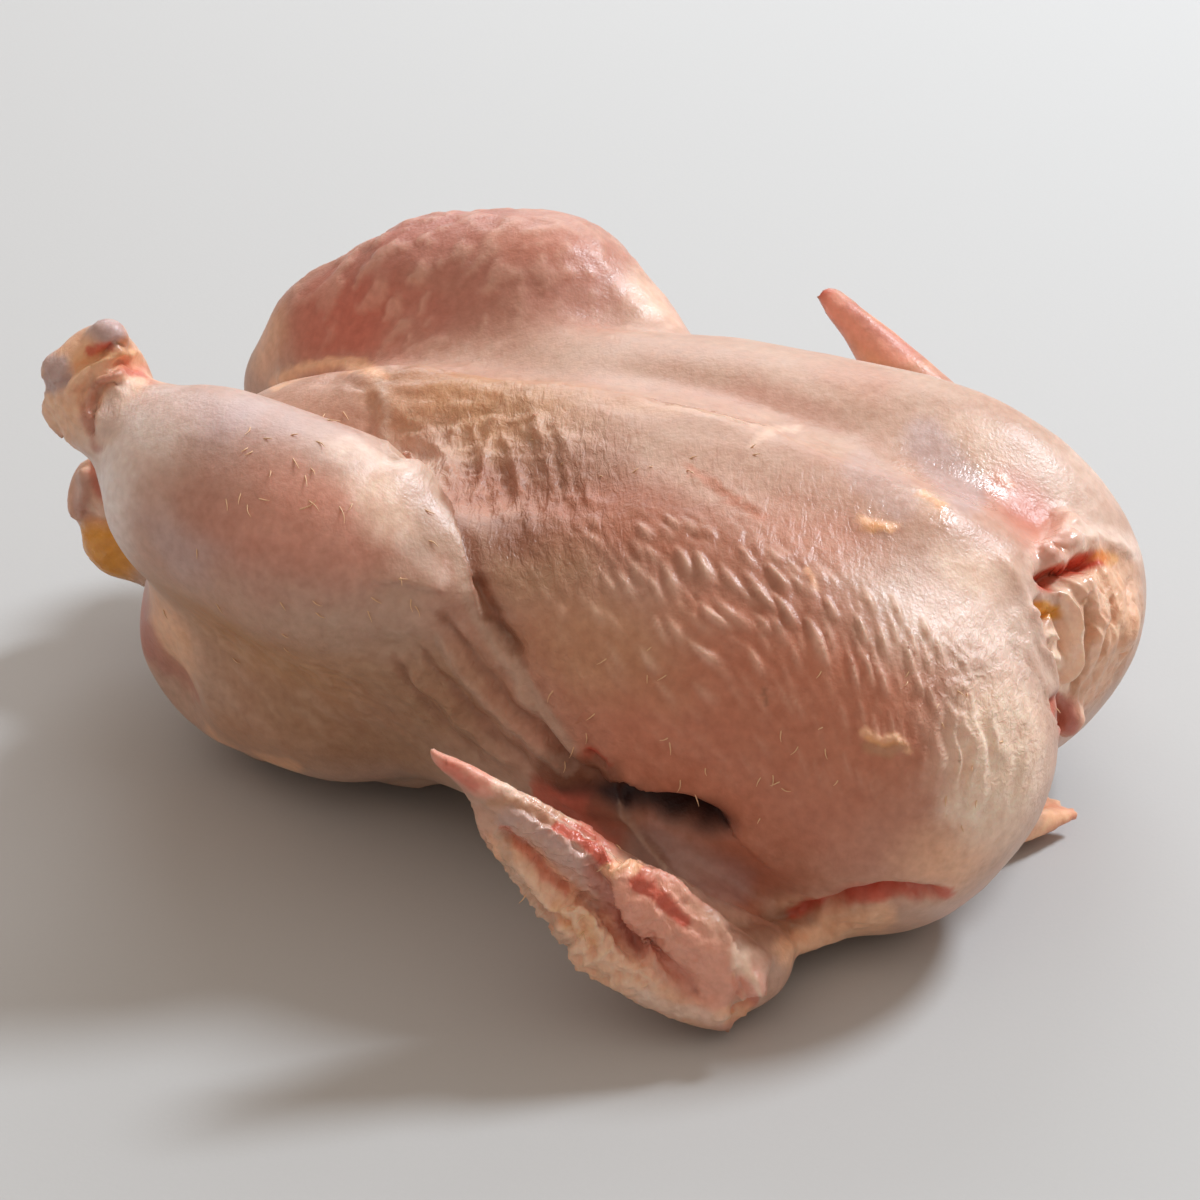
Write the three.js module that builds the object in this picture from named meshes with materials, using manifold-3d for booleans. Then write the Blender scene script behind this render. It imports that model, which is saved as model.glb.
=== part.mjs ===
// A whole raw chicken lying on its back, as a dressed bird is sold: breast up, legs folded back,
// wings folded beside the body, neck skin tucked under the front.
// Millimetres. +X points to the neck end, +Y to the bird's right side, +Z up from the table.
import * as THREE from "three";
import { mergeVertices } from "three/addons/utils/BufferGeometryUtils.js";
import Module from "manifold-3d";

const wasm = await Module();
wasm.setup();

// Driving dimensions
const breastSpread = 30;
const breastRadius = 44;
const breastLength = 178;
const keelHeight = 97;
const frontEnd = 122;
const tailEnd = -141;
const kneeSpread = 60;
const drumRadius = 27;
const thighRadius = 32;
const ventWidth = 44;
const ventHeight = 26;
const wingRadius = 9;
const wingSkin = 9;

// Size of the grid cells that the forms are meshed with
const bodyCell = 7.5;
const limbCell = 4.6;

const point = (x, y, z) => new THREE.Vector3(x, y, z);

// Signed distances, in millimetres, negative inside

function ellipsoid(at, radii, turn = [0, 0, 0]) {
  const back = new THREE.Matrix4()
    .makeRotationFromEuler(new THREE.Euler(...turn.map(THREE.MathUtils.degToRad)))
    .setPosition(...at)
    .invert();
  const scaled = new THREE.Vector3();
  const squared = new THREE.Vector3();
  const radius = point(...radii);
  return (p) => {
    scaled.copy(p).applyMatrix4(back).divide(radius);
    squared.copy(scaled).divide(radius);
    const reach = scaled.length();
    return (reach * (reach - 1)) / Math.max(squared.length(), 1e-9);
  };
}

// A tapered rod with round ends from a to b.
function taper(a, b, startRadius, endRadius) {
  const start = point(...a);
  const along = point(...b).sub(start);
  const lengthSquared = along.lengthSq();
  const step = new THREE.Vector3();
  return (p) => {
    step.copy(p).sub(start);
    const share = THREE.MathUtils.clamp(step.dot(along) / lengthSquared, 0, 1);
    const radius = THREE.MathUtils.lerp(startRadius, endRadius, share);
    return step.addScaledVector(along, -share).length() - radius;
  };
}

// Rods from point to point; a station is [x, y, z, radius].
function limb(...stations) {
  const rods = stations
    .slice(1)
    .map((end, i) => taper(stations[i], end, stations[i][3], end[3]));
  return (p) => Math.min(...rods.map((rod) => rod(p)));
}

// A triangle of skin, this thick.
function skin(a, b, c, thickness) {
  const triangle = new THREE.Triangle(point(...a), point(...b), point(...c));
  const nearest = new THREE.Vector3();
  return (p) => {
    triangle.closestPointToPoint(p, nearest);
    return nearest.distanceTo(p) - thickness / 2;
  };
}

const mirror = (form) => {
  const other = new THREE.Vector3();
  return (p) => form(other.set(p.x, -p.y, p.z));
};

// Joins forms with a soft fillet of about the blend's size.
function joined(blend, forms) {
  return (p) =>
    forms.reduce((near, form) => {
      const d = form(p);
      const overlap = Math.max(blend - Math.abs(near - d), 0) / blend;
      return Math.min(near, d) - (overlap * overlap * blend) / 4;
    }, 1e3);
}

// Takes the hole out of a form, with an edge rounded to about the blend's size.
function carved(blend, form, hole) {
  return (p) => {
    const whole = form(p);
    const out = -hole(p);
    const overlap = Math.max(blend - Math.abs(whole - out), 0) / blend;
    return Math.max(whole, out) + (overlap * overlap * blend) / 4;
  };
}

// Where inside and outside cross over diagonally on a face of the grid, the surface would touch
// itself, so the corner nearest to the surface changes side.
function uncross(value, strides) {
  const faces = [[0, 1], [1, 2], [2, 0]].map(([u, v]) => [
    0,
    strides[u],
    strides[u] + strides[v],
    strides[v],
  ]);
  let changed = true;
  while (changed) {
    changed = false;
    for (let n = 0; n < value.length; n++)
      for (const face of faces) {
        const corners = face.map((step) => n + step);
        const [a, b, c, d] = corners.map((corner) => value[corner] < 0);
        if (a !== c || b !== d || a === b) continue;
        const size = (corner) => Math.abs(value[corner]);
        const nearest = corners.reduce((least, corner) => (size(corner) < size(least) ? corner : least));
        value[nearest] = -value[nearest];
        changed = true;
      }
  }
}

// Surface nets: one vertex in each cell that the surface crosses, one quad for each crossed edge.
function surface(field, box, cell) {
  const size = box.getSize(new THREE.Vector3());
  const count = size.divideScalar(cell).ceil().addScalar(3);
  const [nx, ny, nz] = count.toArray();
  const place = (i, j, k) =>
    point(i, j, k).subScalar(1).multiplyScalar(cell).add(box.min);
  const index = (i, j, k) => i + nx * (j + ny * k);
  const value = new Float32Array(nx * ny * nz);
  for (let k = 0; k < nz; k++)
    for (let j = 0; j < ny; j++)
      for (let i = 0; i < nx; i++) value[index(i, j, k)] = field(place(i, j, k));
  uncross(value, [1, nx, nx * ny]);

  const corners = [...Array(8).keys()].map((c) => [c & 1, (c >> 1) & 1, c >> 2]);
  const cellVertex = new Int32Array(value.length).fill(-1);
  const vertices = [];
  for (let k = 0; k < nz - 1; k++)
    for (let j = 0; j < ny - 1; j++)
      for (let i = 0; i < nx - 1; i++) {
        const crossings = point(0, 0, 0);
        let crossed = 0;
        corners.forEach(([a, b, c], corner) => {
          const start = value[index(i + a, j + b, k + c)];
          for (const axis of [0, 1, 2]) {
            if ((corner >> axis) & 1) continue;
            const step = [a, b, c];
            step[axis] = 1;
            const end = value[index(i + step[0], j + step[1], k + step[2])];
            if (start < 0 === end < 0) continue;
            step[axis] = start / (start - end);
            crossings.add(point(i + step[0], j + step[1], k + step[2]));
            crossed += 1;
          }
        });
        if (!crossed) continue;
        cellVertex[index(i, j, k)] = vertices.length;
        const { x, y, z } = crossings.divideScalar(crossed);
        vertices.push(place(x, y, z));
      }

  const faces = [];
  for (let k = 1; k < nz - 1; k++)
    for (let j = 1; j < ny - 1; j++)
      for (let i = 1; i < nx - 1; i++) {
        const inside = value[index(i, j, k)] < 0;
        const quads = [
          [index(i + 1, j, k), [0, 1, 0], [0, 0, 1]],
          [index(i, j + 1, k), [0, 0, 1], [1, 0, 0]],
          [index(i, j, k + 1), [1, 0, 0], [0, 1, 0]],
        ];
        for (const [next, u, v] of quads) {
          if (inside === value[next] < 0) continue;
          const at = (s, t) =>
            cellVertex[index(i - s * u[0] - t * v[0], j - s * u[1] - t * v[1], k - s * u[2] - t * v[2])];
          const quad = [at(1, 1), at(0, 1), at(0, 0), at(1, 0)];
          if (!inside) quad.reverse();
          const diagonal = (m, n) => vertices[quad[m]].distanceTo(vertices[quad[n]]);
          if (diagonal(1, 3) < diagonal(0, 2)) quad.unshift(quad.pop());
          faces.push(quad[0], quad[1], quad[2], quad[0], quad[2], quad[3]);
        }
      }
  return { vertices, faces };
}

function solid(field, low, high, cell) {
  const { vertices, faces } = surface(field, new THREE.Box3(point(...low), point(...high)), cell);
  const vertProperties = new Float32Array(vertices.flatMap((v) => v.toArray()));
  return new wasm.Manifold(new wasm.Mesh({ numProp: 3, vertProperties, triVerts: new Uint32Array(faces) }));
}

// Trunk: two breast lobes, shoulders, keel crest and back
const breast = (side, height) =>
  ellipsoid([34, side * breastSpread, height], [breastLength / 2, breastRadius, breastRadius], [0, 4, 0]);
const shoulder = ellipsoid([84, -38, 32], [31, 31, 33]);
const keel = keelHeight - 8;
const chest = joined(18, [
  breast(-1, 50),
  breast(1, 53),
  shoulder,
  mirror(shoulder),
  ellipsoid([4, 0, 34], [106, 52, 36]),
  ellipsoid([-62, 0, 58], [44, 34, 27]),
  limb(
    [-56, 0, keel - 8, 8],
    [-12, -4, keel, 8],
    [24, -8, keel, 9],
    [56, -10, keel - 2, 9],
    [86, -8, keel - 10, 12],
    [100, -4, keel - 20, 13],
  ),
]);
const neckHollow = ellipsoid([frontEnd + 6, 2, 56], [20, 13, 36]);
const trunk = carved(8, chest, neckHollow);

// Legs: hip, knee, calf and ankle
const nearLeg = joined(20, [
  limb([-71, -31, 36, thighRadius + 1], [-48, -37, 34, 30], [-16, -50, 54, 18]),
  limb(
    [-12, 2 - kneeSpread, 72, 17],
    [-40, -kneeSpread, 79, drumRadius],
    [-74, -54, 82, drumRadius - 2],
    [-100, -46, 91, 12],
    [-110, -43, 97, 9],
  ),
]);
const farLeg = joined(16, [
  limb([-72, 34, 38, thighRadius], [-26, 54, 56, 20]),
  limb(
    [-21, kneeSpread, 79, 17],
    [-43, kneeSpread + 2, 80, drumRadius + 1],
    [-70, kneeSpread + 2, 75, drumRadius + 0.5],
    [-99, kneeSpread - 2, 64, 20.5],
    [-115, kneeSpread - 6, 51, 12],
  ),
]);
const kneeSkin = skin([-12, -58, 62], [18, -62, 26], [-36, -46, 22], 12);

const rump = limb([-86, 0, 26, 20], [-112, 0, 33, 17]);

// Far side of the breast, which stands as high as the crest: its full front and its flank along the leg
const farBreast = ellipsoid([62, 39, 49], [59, 29, 46]);
const farFlank = ellipsoid([-4, 36, 67], [74, 25, 25]);

const armpit = ellipsoid([49, -80, 37], [17, 13, 9]);
const body = carved(4, joined(7, [trunk, rump, nearLeg, farLeg, kneeSkin, farBreast, farFlank]), armpit);
const vent = ellipsoid([-91, 0, 54], [37, ventWidth / 2, ventHeight / 2]);

// Tail: two lobes of fat under a turned-up tip
const tail = joined(6, [
  limb([-108, 0, 35, 16], [tailEnd + 13, 1, 36, 12]),
  ellipsoid([tailEnd + 13, -5, 31], [13, 9, 10]),
  ellipsoid([tailEnd + 13, 8, 31], [13, 9, 10]),
  limb([-121, -2, 44, 7], [tailEnd + 9, -3, 53, 3.5]),
]);

// Skin of the neck: upright folds, side by side, over the front hole
const folds = [
  [[106, -7, 73, 5], [115, -3, 56, 5], [111, 2, 38, 5]],
  [[110, 5, 75, 5], [120, 7, 57, 5.5], [114, 9, 37, 5]],
  [[109, 17, 72, 6], [122, 18, 55, 6], [115, 18, 38, 6]],
  [[104, 29, 66, 8], [118, 30, 52, 8], [108, 27, 38, 8]],
].map((stations) => limb(...stations));
const neckSkin = joined(2, folds);

// Wings: shoulder, elbow, wrist and tip
function wing(side, elbow, wrist, tip, handRadius, tipRadius) {
  const wristPoint = point(...wrist);
  const tipPoint = point(...tip);
  const down = point(-0.25, side * 0.6, -0.75).normalize();
  const lower = (share, drop) =>
    wristPoint.clone().lerp(tipPoint, share).addScaledVector(down, drop).toArray();
  return joined(5, [
    limb([86, side * 50, 24, 16], [...elbow, wingRadius]),
    limb([...elbow, wingRadius], [...wrist, wingRadius]),
    limb([...wrist, handRadius], [...tip, tipRadius]),
    skin(lower(0.02, 10), lower(0.32, 19), lower(0.75, 6), wingSkin),
    skin(wrist, lower(0.02, 10), lower(0.75, 6), wingSkin),
    skin([92, side * 42, 7], [wrist[0], wrist[1], wrist[2] - 2], elbow, wingSkin - 2),
  ]);
}
const nearWing = wing(-1, [14, -52, 21], [73, -84, 12], [8, -107, 63], 9, 3.8);
const farWing = wing(1, [6, 56, 26], [80, 96, 34], [13, 113, 76], 12, 5);

// Hock: the cut ankle joint in rolled-up skin
const hock = joined(3, [
  ellipsoid([-107, -42, 94], [9, 17, 18], [0, -20, 0]),
  ellipsoid([-105, -42, 108], [6, 6, 6]),
  ellipsoid([-117, -43, 98], [6, 6, 6]),
]);

// Loose ends of skin that lie on the table
const frontFlap = skin([90, 10, 20], [115, 17, 4], [103, 6, 4], 6);
const sideFlap = skin([-44, -36, 12], [-20, -42, 9], [-38, -40, 3], 6);
const backFlap = skin([-66, -30, 9], [-85, -40, 9], [-68, -44, 3], 6);

// A closed three.js geometry as a solid.
function solidOf(geometry) {
  geometry.deleteAttribute("normal");
  geometry.deleteAttribute("uv");
  const merged = mergeVertices(geometry);
  return new wasm.Manifold(
    new wasm.Mesh({
      numProp: 3,
      vertProperties: merged.attributes.position.array,
      triVerts: new Uint32Array(merged.index.array),
    }),
  );
}
const table = solidOf(new THREE.BoxGeometry(400, 400, 40).translate(0, 0, -20));

const chicken = solid(body, [-150, -110, -8], [135, 110, 125], bodyCell)
  .add(solid(tail, [-155, -30, 0], [-85, 30, 70], limbCell))
  .subtract(solid(vent, [-145, -30, 30], [-40, 30, 75], limbCell))
  .add(solid(neckSkin, [85, -25, 20], [135, 45, 95], limbCell))
  .add(solid(nearWing, [-10, -125, -8], [120, -20, 85], limbCell))
  .add(solid(farWing, [-10, 20, -8], [120, 130, 95], limbCell))
  .add(solid(hock, [-135, -70, 70], [-85, -15, 125], limbCell))
  .add(solid(frontFlap, [80, -5, -5], [125, 30, 30], limbCell))
  .add(solid(sideFlap, [-50, -50, -5], [-10, -25, 25], limbCell))
  .add(solid(backFlap, [-95, -55, -5], [-55, -20, 20], limbCell))
  .subtract(table);

const mesh = chicken.getMesh();
const geometry = new THREE.BufferGeometry();
const positions = new Float32Array(mesh.vertProperties);
geometry.setAttribute("position", new THREE.BufferAttribute(positions, mesh.numProp));
geometry.setIndex(new THREE.BufferAttribute(mesh.triVerts, 1));
geometry.computeVertexNormals();

const material = new THREE.MeshStandardMaterial({ color: 0xe3a998, roughness: 0.45, metalness: 0 });
const bird = new THREE.Mesh(geometry, material);
bird.name = "chicken";
const group = new THREE.Group();
group.add(bird);

export default group;
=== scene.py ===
"""A whole raw chicken that lies on its back: its skin with folds, feather bumps and colour,
the hock and neck, fine hairs, and a plain pale table in soft light."""
import itertools
import math

import bmesh
import bpy
import numpy as np
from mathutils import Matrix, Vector


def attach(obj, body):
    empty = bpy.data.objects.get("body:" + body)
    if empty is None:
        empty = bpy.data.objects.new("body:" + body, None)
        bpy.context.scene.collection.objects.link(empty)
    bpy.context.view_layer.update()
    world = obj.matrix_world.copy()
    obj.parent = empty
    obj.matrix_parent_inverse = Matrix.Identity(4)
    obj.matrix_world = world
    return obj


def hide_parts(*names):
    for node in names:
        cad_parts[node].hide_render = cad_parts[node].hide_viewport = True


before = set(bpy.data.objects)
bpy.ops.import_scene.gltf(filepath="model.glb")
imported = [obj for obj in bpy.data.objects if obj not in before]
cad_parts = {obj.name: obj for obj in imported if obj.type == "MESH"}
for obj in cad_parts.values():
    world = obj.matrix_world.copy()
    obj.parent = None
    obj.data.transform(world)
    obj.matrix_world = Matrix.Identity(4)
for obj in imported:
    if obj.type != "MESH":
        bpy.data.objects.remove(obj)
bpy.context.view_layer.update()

bl_info = {
    "name": "Whole raw chicken",
    "version": (1, 0, 0),
    "blender": (4, 5, 0),
    "location": "View3D > Sidebar > Chicken",
    "description": "Skin, fine hairs and table for a whole raw chicken",
    "category": "Object",
}

MM = 0.001
# Size of the faces of the plain solid while it is smoothed, in metres
PLAIN_CELL = 2 * MM
# Share of the faces that thinning keeps, and roughly the way to the camera, where it takes none
KEPT_FACES = 0.74
TOWARD_CAMERA = np.array((0.35, -0.79, 0.5))
# How much of the wrinkled look there is everywhere
EVEN_SLACK = 0.1
# The round side of the breast: the middle of its cross-section and its radius, in millimetres
SIDE_Y, SIDE_Z, SIDE_RADIUS = -30, 50, 44
# Size of a cell that holds one feather bump, across it and along it, in millimetres
BUMP_ACROSS, BUMP_ALONG = 3.2, 7.4
HAIR_SEED = 7


def tone(label, text, value):
    return bpy.props.FloatVectorProperty(name=label, description=text, default=value, subtype="COLOR")


class ChickenSettings(bpy.types.PropertyGroup):
    skin_cell: bpy.props.FloatProperty(
        name="Skin cell",
        description="Size of the faces that the skin is made of",
        default=0.00175,
        unit="LENGTH",
    )
    bump_height: bpy.props.FloatProperty(
        name="Feather bump height",
        description="How far the bumps stand up where the feathers grew",
        default=0.0016,
        unit="LENGTH",
    )
    cream: tone("Cream skin", "Pale skin on top of the breast", (0.58, 0.4, 0.31))
    pink: tone("Pink skin", "Thin skin over pale meat", (0.57, 0.33, 0.25))
    # This tone is partly the skin's own warm colour and partly painted shade: the near side of the
    # breast, which the key light misses, is painted darker and redder than its top
    blush_and_shade: tone("Blush", "Warm skin on the side of the breast", (0.54, 0.2, 0.12))
    rose: tone("Rose skin", "Thin skin over dark meat", (0.5, 0.18, 0.14))
    red: tone("Red", "Bruised skin and cut flesh", (0.6, 0.09, 0.05))
    yellow: tone("Yellow skin", "Thicker skin along the keel and on the thigh", (0.54, 0.28, 0.16))
    tan: tone("Tan", "Skin of the wing, the hock and the neck", (0.95, 0.56, 0.35))
    fat: tone("Fat", "Fat that shows at the tail and the neck", (0.74, 0.33, 0.045))
    # This tone also stands in for painted glints on the top of the breast
    lilac: tone("Lilac", "Membrane and cartilage", (0.54, 0.4, 0.39))
    # This tone is also painted highlight: on the wrist of the wing, along the crest of the keel, at
    # glints on the top, far shoulder and front of the breast, and on the crests of the feather bumps
    white: tone("White", "Tendon and pale skin folds", (0.95, 0.72, 0.58))
    # This tone is partly brownish skin and partly painted shade: it darkens the creases, the valleys of
    # the knee folds and the breast below the crest of the keel, where the crest keeps the light off
    ochre_shade: tone("Ochre", "Thick skin in the creases and at the rear of the keel", (0.35, 0.16, 0.1))
    flesh: tone("Flesh", "Pink skin on the outer part of the wing", (0.8, 0.38, 0.29))
    # This tone is painted shade: a red-brown band along the middle of the breast, where it turns away
    # from the light
    clay_shade: tone("Clay", "Red-brown skin along the middle of the breast", (0.42, 0.165, 0.1))
    # This tone is painted shade: darkest brown beside the knee, under the thigh, in the armpit and in
    # the body cavity
    umber_shade: tone("Umber", "Darkest skin beside the knee and under the thigh", (0.25, 0.095, 0.05))
    frost: tone("Frost", "Bluish white skin on the rear of the drumstick", (0.86, 0.76, 0.74))
    straw: tone("Straw", "Golden skin over the belly and on the thigh", (0.56, 0.3, 0.15))
    sand: tone("Sand", "Shaded skin low on the thigh and beside the knee", (0.45, 0.25, 0.15))
    # This tone is pale skin with painted sheen in it, where light falls on the top of the drumstick, the
    # knee, the front and far shoulder of the breast and the rim of the neck
    pearl_sheen: tone("Pearl", "Pale shiny skin on the knee and at the front of the breast", (0.8, 0.61, 0.52))
    # This tone is painted shade: near black in the hollow of the armpit
    dark: tone("Dark", "Deep in the cuts and hollows", (0.04, 0.01, 0.007))
    table: tone("Table", "Pale table", (0.545, 0.545, 0.54))
    key_power: bpy.props.FloatProperty(
        name="Key light",
        description="Power of the soft light from the right and behind",
        default=42.5,
        unit="POWER",
    )
    back_power: bpy.props.FloatProperty(
        name="Back light",
        description="Power of the wide light from behind",
        default=9.5,
        unit="POWER",
    )
    fill: bpy.props.FloatProperty(
        name="Fill light",
        description="Strength of the light from all round",
        default=0.46,
    )


def settings():
    return bpy.context.scene.chicken


# Fields over points in millimetres


def lattice(cells, seed):
    """A fixed value from 0 to 1 for each whole-numbered cell."""
    mixed = cells[:, 0] * 73856093 ^ cells[:, 1] * 19349663 ^ cells[:, 2] * 83492791
    mixed = (mixed ^ seed * 7919) & 0x7FFFFFFF
    mixed = ((mixed ^ (mixed >> 13)) * 1274126177) & 0x7FFFFFFF
    return ((mixed ^ (mixed >> 16)) & 0xFFFF) / 65535


def noise(points, size, seed=0):
    """Smooth noise from -1 to 1 with lumps about this size."""
    scaled = points / size + 31.7 * (seed + 1)
    cell = np.floor(scaled).astype(np.int64)
    part = scaled - cell
    part = part * part * (3 - 2 * part)
    total = np.zeros(len(points))
    for corner in itertools.product((0, 1), repeat=3):
        weight = np.prod(np.where(corner, part, 1 - part), axis=1)
        total += weight * lattice(cell + corner, seed)
    return 2 * total - 1


def rough(points, size, seed=0):
    """Noise with two finer layers on it."""
    layers = ((1, 1), (0.5, 0.5), (0.25, 0.25))
    return sum(a * noise(points, size * s, seed + k) for k, (s, a) in enumerate(layers)) / 1.4


def eased(share):
    share = np.clip(share, 0, 1)
    return share * share * (3 - 2 * share)


def around(points, at, radii, edge=0.6):
    """1 in the middle of an ellipsoid, easing to 0 at its edge."""
    reach = np.linalg.norm((points - at) / np.asarray(radii, float), axis=1)
    return eased((1 - reach) / edge)


def along(points, line):
    """Distance to the line through these places, how far along it the nearest place is, and the side."""
    nearest = np.full(len(points), 1e9)
    share = np.zeros(len(points))
    side = np.zeros(len(points))
    line = np.asarray(line, float)
    for k, (start, end) in enumerate(zip(line, line[1:])):
        way = end - start
        t = np.clip((points - start) @ way / (way @ way), 0, 1)
        off = points - start - t[:, None] * way
        far = np.linalg.norm(off, axis=1)
        closer = far < nearest
        nearest = np.where(closer, far, nearest)
        share = np.where(closer, (k + t) / (len(line) - 1), share)
        if len(way) == 2:
            side = np.where(closer, np.sign(way[0] * off[:, 1] - way[1] * off[:, 0]), side)
    return nearest, share, side


# How the camera stands: turned from the front, lifted, how far away in millimetres, and where it aims
CAMERA_TURN, CAMERA_LIFT, CAMERA_FAR = math.radians(24), math.radians(30), 900.0
AIM = np.array((0, 0, 42.0))
# Ways in the camera's view: to its right, from the bird back to it, and up
RIGHT = np.array((math.cos(CAMERA_TURN), math.sin(CAMERA_TURN), 0))
LEVEL, RISE = math.cos(CAMERA_LIFT), math.sin(CAMERA_LIFT)
BACK = np.array((RIGHT[1] * LEVEL, -RIGHT[0] * LEVEL, RISE))
UP = np.cross(BACK, RIGHT)
# Focal length and sensor in millimetres, and the side of the picture in pixels
LENS, SENSOR, PICTURE = 113.4, 36.0, 1200


def seen(points):
    """Where the points are in the picture: how far right and how far down, in pixels."""
    off = points - AIM - CAMERA_FAR * BACK
    scale = PICTURE * LENS / SENSOR / -(off @ BACK)
    return np.stack([PICTURE / 2 + scale * (off @ RIGHT), PICTURE / 2 - scale * (off @ UP)], axis=1)


# Making and shaping meshes


def make_active(obj):
    for other in bpy.context.selected_objects:
        other.select_set(False)
    obj.select_set(True)
    bpy.context.view_layer.objects.active = obj


def apply_modifier(obj, kind, **values):
    modifier = obj.modifiers.new(kind.title(), kind)
    for name, value in values.items():
        setattr(modifier, name, value)
    make_active(obj)
    bpy.ops.object.modifier_apply(modifier=modifier.name)


def ball(at, radii):
    """A smooth lump with these half sizes, in millimetres."""
    place = [v * MM for v in at]
    bpy.ops.mesh.primitive_uv_sphere_add(segments=20, ring_count=12, radius=1, location=place)
    lump = bpy.context.active_object
    lump.scale = [v * MM for v in radii]
    make_active(lump)
    bpy.ops.object.transform_apply(location=True, rotation=True, scale=True)
    return lump


def strands(lines, roundness=3, steps=6):
    """Smooth strands, each through stations of x, y, z and radius, in millimetres."""
    curve = bpy.data.curves.new("strands", "CURVE")
    curve.dimensions = "3D"
    curve.bevel_depth = MM
    curve.bevel_resolution = roundness
    curve.resolution_u = steps
    curve.use_fill_caps = True
    for stations in lines:
        spline = curve.splines.new("NURBS")
        spline.points.add(len(stations) - 1)
        for knot, (x, y, z, radius) in zip(spline.points, stations):
            knot.co = (x * MM, y * MM, z * MM, 1)
            knot.radius = radius
        spline.use_endpoint_u = True
        spline.order_u = 3
    obj = bpy.data.objects.new("strands", curve)
    bpy.context.collection.objects.link(obj)
    make_active(obj)
    bpy.ops.object.convert(target="MESH")
    return bpy.context.active_object


def joined(name, parts):
    make_active(parts[0])
    for part in parts[1:]:
        part.select_set(True)
    bpy.ops.object.join()
    piece = bpy.context.active_object
    piece.name = name
    piece.data.name = name
    return piece


def keep_largest(piece):
    """Deletes every island of the mesh but the largest, such as a bubble inside it."""
    bm = bmesh.new()
    bm.from_mesh(piece.data)
    islands = []
    left = set(bm.verts)
    while left:
        start = left.pop()
        island, edge = [start], [start]
        while edge:
            near = [link.other_vert(point) for point in edge for link in point.link_edges]
            edge = list(left.intersection(near))
            left.difference_update(edge)
            island += edge
        islands.append(island)
    islands.sort(key=len)
    bmesh.ops.delete(bm, geom=[point for island in islands[:-1] for point in island], context="VERTS")
    bm.to_mesh(piece.data)
    bm.free()


def bird_copy():
    """The bird's plain solid as a mesh of its own, with its loose triangles merged."""
    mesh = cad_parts["chicken"].data.copy()
    work = bmesh.new()
    work.from_mesh(mesh)
    bmesh.ops.remove_doubles(work, verts=work.verts, dist=1e-7)
    work.to_mesh(mesh)
    work.free()
    piece = bpy.data.objects.new("bird", mesh)
    bpy.context.collection.objects.link(piece)
    return piece


def read(items, name):
    """One vector for each of these vertices, normals or faces."""
    values = np.empty(len(items) * 3)
    items.foreach_get(name, values)
    return values.reshape(-1, 3)


def write(mesh, points):
    mesh.vertices.foreach_set("co", points.ravel())
    mesh.update()


def paint(mesh, name, values):
    """Stores a colour or a number at each vertex, for the material to read."""
    if values.ndim == 2:
        colours = np.hstack([values, np.ones((len(values), 1))])
        mesh.attributes.new(name, "FLOAT_COLOR", "POINT").data.foreach_set("color", colours.ravel())
    else:
        mesh.attributes.new(name, "FLOAT", "POINT").data.foreach_set("value", values)


def refine(piece, zones):
    """Splits faces toward the camera in four, in these zones: each a place and its half sizes."""
    mesh = piece.data
    middles = read(mesh.polygons, "center") / MM
    facing = read(mesh.polygons, "normal") @ BACK > 0.05
    chosen = np.zeros(len(middles), bool)
    for at, radii in zones:
        chosen |= facing & (np.linalg.norm((middles - at) / np.asarray(radii, float), axis=1) < 1)
    make_active(piece)
    bpy.ops.object.mode_set(mode="EDIT")
    bpy.ops.mesh.select_mode(type="FACE")
    bpy.ops.mesh.select_all(action="DESELECT")
    bpy.ops.object.mode_set(mode="OBJECT")
    mesh.polygons.foreach_set("select", chosen)
    bpy.ops.object.mode_set(mode="EDIT")
    bpy.ops.mesh.subdivide(number_cuts=1, smoothness=0)
    bpy.ops.object.mode_set(mode="OBJECT")


def finish(piece, material, stands_for=()):
    piece.data.materials.clear()
    piece.data.materials.append(material)
    make_active(piece)
    bpy.ops.object.shade_smooth()
    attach(piece, "root")
    if stands_for:
        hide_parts(*stands_for)


# Materials


class Nodes:
    """A few short ways to add shader nodes to a material or a world."""

    def __init__(self, owner, main):
        owner.use_nodes = True
        self.tree = owner.node_tree
        self.main = self.tree.nodes[main]
        self.place = self.add("ShaderNodeTexCoord").outputs

    def feed(self, node, inputs):
        """Links each of these inputs to another node's output, or sets its value."""
        for name, value in inputs.items():
            if isinstance(value, bpy.types.NodeSocket):
                self.tree.links.new(value, node.inputs[name])
            else:
                node.inputs[name].default_value = value

    def add(self, kind, inputs=None, **values):
        node = self.tree.nodes.new(kind)
        for name, value in values.items():
            setattr(node, name, value)
        self.feed(node, inputs or {})
        return node

    def texture(self, scale, detail=3, distortion=0, place=None):
        place = place or self.place["Object"]
        inputs = {"Vector": place, "Scale": scale, "Detail": detail, "Distortion": distortion}
        return self.add("ShaderNodeTexNoise", inputs).outputs["Fac"]

    def ranged(self, source, low, high, to_low, to_high):
        inputs = {"Value": source, "From Min": low, "From Max": high}
        inputs |= {"To Min": to_low, "To Max": to_high}
        return self.add("ShaderNodeMapRange", inputs).outputs["Result"]

    def maths(self, operation, first, second):
        return self.add("ShaderNodeMath", {0: first, 1: second}, operation=operation).outputs["Value"]

    def mixed(self, blend, share, first, second):
        # The inputs of this node share their names, so they go by number
        inputs = {0: share, 6: first, 7: second}
        return self.add("ShaderNodeMix", inputs, data_type="RGBA", blend_type=blend).outputs[2]

    def attribute(self, name, output):
        return self.add("ShaderNodeAttribute", attribute_name=name).outputs[output]

    def bump(self, inputs):
        return self.add("ShaderNodeBump", inputs).outputs["Normal"]


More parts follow.
